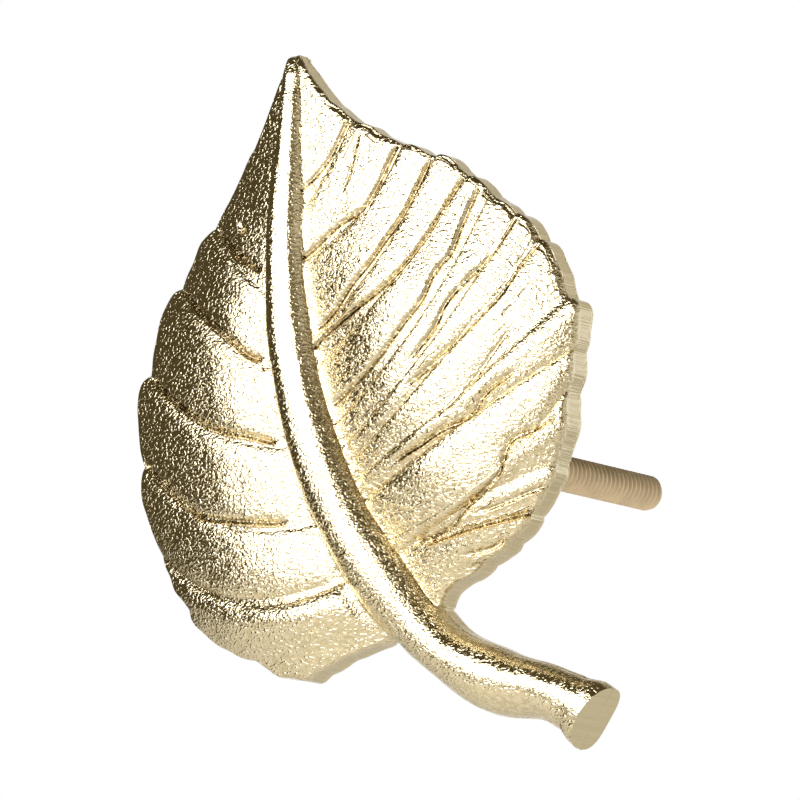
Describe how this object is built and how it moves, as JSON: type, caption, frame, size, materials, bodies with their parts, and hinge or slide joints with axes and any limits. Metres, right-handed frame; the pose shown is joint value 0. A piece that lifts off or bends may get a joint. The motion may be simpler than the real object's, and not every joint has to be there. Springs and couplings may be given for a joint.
{
  "type": "leaf shaped cabinet pull",
  "caption": "Cast leaf pull for a door or drawer: a serrated blade with a thick midrib that runs out as a cut stem, on a round post with a threaded stud",
  "frame": {"origin": "On the stud's axis, in the plane where the post's end meets the door.", "axes": "+Y runs along the stud into the door, -Y points into the room. +Z points to the leaf's tip. +X is the side that the stem runs out to, seen from the front."},
  "size_m": [0.0665, 0.0533, 0.0788],
  "materials": {
    "cast_gold": "pale champagne gold plating over a sand-cast, tumbled face; linished rim",
    "plated_steel": "dull brownish-yellow plated screw thread"
  },
  "bodies": {
    "root": {"leaf_casting": "cast_gold", "threaded_stud": "plated_steel"}
  },
  "joints": []
}
